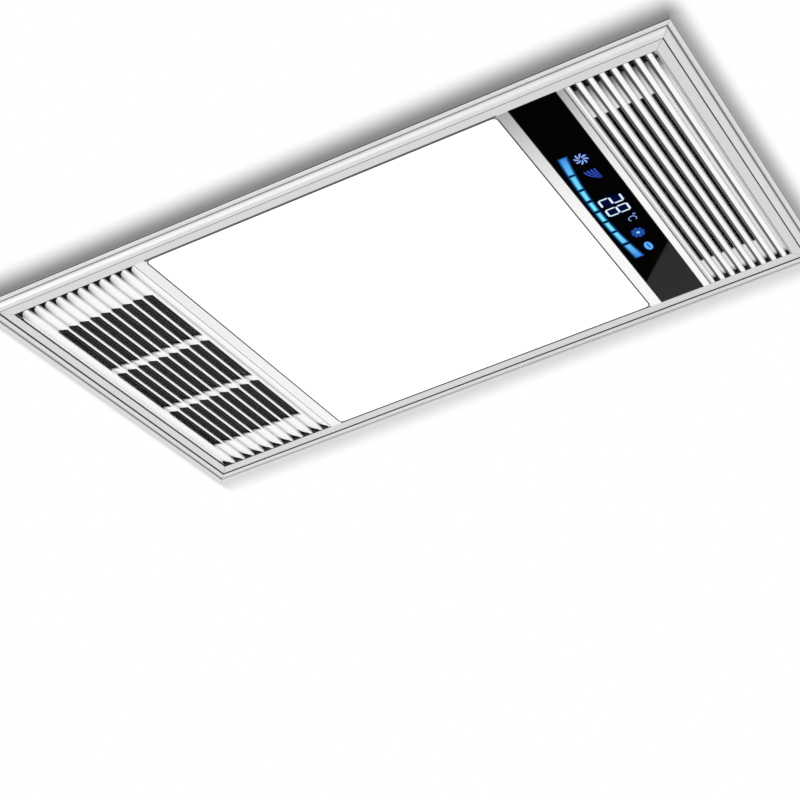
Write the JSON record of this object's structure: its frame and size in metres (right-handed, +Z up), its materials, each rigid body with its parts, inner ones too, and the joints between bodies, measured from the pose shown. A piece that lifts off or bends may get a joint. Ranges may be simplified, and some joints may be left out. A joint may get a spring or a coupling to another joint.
{
  "type": "bathroom ceiling heater",
  "caption": "Flush ceiling heater with a framed face: heater grille, square light panel, black display strip and slotted extraction grille under a sheet metal blower housing.",
  "frame": {"origin": "middle of the ceiling plane, on which the upper faces of the trim frame lie", "axes": "+Z up into the ceiling void, the face looks down; +X along the unit from the heater grille to the extraction grille"},
  "size_m": [0.4865, 0.3244, 0.1843],
  "materials": {
    "trim_aluminium": "satin silver anodised",
    "face_enamel": "white satin enamel",
    "zinc_sheet": "galvanised sheet",
    "bright_steel": "bright plated steel",
    "bare_aluminium": "mill finish",
    "black_plastic": "fine grained",
    "white_plastic": "fine grained",
    "grey_plastic": "fine grained",
    "charcoal_mesh": "matt charcoal coating",
    "opal_acrylic": "opal, lit from behind",
    "display_glass": "polished black",
    "circuit_board": "green solder mask"
  },
  "bodies": {
    "casing": {"trim_rail_near": "trim_aluminium", "trim_rail_far": "trim_aluminium", "trim_rail_left": "trim_aluminium", "trim_rail_right": "trim_aluminium", "face_frame": "face_enamel", "heater_grille": "face_enamel", "exhaust_grille": "face_enamel", "light_tray": "face_enamel", "housing": "zinc_sheet", "hanger_angle_far": "zinc_sheet", "hanger_angle_near": "zinc_sheet", "duct_spigot": "zinc_sheet", "heater_duct": "zinc_sheet", "heater_deck": "zinc_sheet", "motor_bracket": "zinc_sheet", "blower_strap_1": "zinc_sheet", "blower_strap_2": "zinc_sheet", "blower_strap_3": "zinc_sheet", "corner_key_1": "bright_steel", "corner_key_2": "bright_steel", "corner_key_3": "bright_steel", "corner_key_4": "bright_steel", "face_screw_1": "bright_steel", "face_screw_2": "bright_steel", "face_screw_3": "bright_steel", "face_screw_4": "bright_steel", "fan_motor": "bright_steel", "heater_core": "bare_aluminium", "display_carrier": "black_plastic", "vane_frame": "black_plastic", "vane_motor": "black_plastic", "damper_motor": "black_plastic", "thermal_cutout": "black_plastic", "cable_gland": "black_plastic", "board_carrier": "black_plastic", "led_board": "white_plastic", "led_driver": "white_plastic", "heater_end_cap_near": "white_plastic", "heater_end_cap_far": "white_plastic", "scroll_shell": "white_plastic", "scroll_cover": "white_plastic", "terminal_block": "white_plastic", "terminal_box": "grey_plastic", "terminal_cover": "grey_plastic", "guard_mesh": "charcoal_mesh", "light_diffuser": "opal_acrylic", "display_glass": "display_glass", "display_board": "circuit_board", "control_board": "circuit_board"},
    "fan": {"fan_wheel": "black_plastic", "motor_shaft": "bright_steel", "shaft_nut": "bright_steel"},
    "vane_1": {"swing_vane_1": "black_plastic"},
    "vane_2": {"swing_vane_2": "black_plastic"},
    "vane_3": {"swing_vane_3": "black_plastic"},
    "link": {"vane_link": "white_plastic"},
    "damper": {"changeover_damper": "bare_aluminium"},
    "wing_near": {"shutter_wing_near": "bare_aluminium"},
    "wing_far": {"shutter_wing_far": "bare_aluminium"}
  },
  "joints": [
    {"name": "fan_spin", "type": "hinge", "parent": "casing", "child": "fan", "pos_m": [0.022, 0.012, 0.12], "axis": [0, 0, 1], "continuous": true},
    {"name": "vane_1_swing", "type": "hinge", "parent": "casing", "child": "vane_1", "pos_m": [-0.1954, 0, 0.022], "axis": [0, 1, 0], "range_deg": [-25, 25]},
    {"name": "vane_2_swing", "type": "hinge", "parent": "casing", "child": "vane_2", "pos_m": [-0.1734, 0, 0.022], "axis": [0, 1, 0], "range_deg": [-25, 25]},
    {"name": "vane_3_swing", "type": "hinge", "parent": "casing", "child": "vane_3", "pos_m": [-0.1514, 0, 0.022], "axis": [0, 1, 0], "range_deg": [-25, 25]},
    {"name": "link_pivot", "type": "hinge", "parent": "vane_1", "child": "link", "pos_m": [-0.1954, 0.1233, 0.033], "axis": [0, 1, 0], "range_deg": [-25, 25]},
    {"name": "damper_swing", "type": "hinge", "parent": "casing", "child": "damper", "pos_m": [-0.2064, 0, 0.0784], "axis": [0, 1, 0], "range_deg": [0, 90]},
    {"name": "wing_near_swing", "type": "hinge", "parent": "casing", "child": "wing_near", "pos_m": [-0.227, 0, 0.126], "axis": [0, 0, -1], "range_deg": [0, 75]},
    {"name": "wing_far_swing", "type": "hinge", "parent": "casing", "child": "wing_far", "pos_m": [-0.227, 0, 0.126], "axis": [0, 0, 1], "range_deg": [0, 75]}
  ],
  "couplings": [
    {"joint": "vane_2_swing", "follows": "vane_1_swing", "ratio": 1},
    {"joint": "vane_3_swing", "follows": "vane_1_swing", "ratio": 1},
    {"joint": "link_pivot", "follows": "vane_1_swing", "ratio": -1}
  ]
}
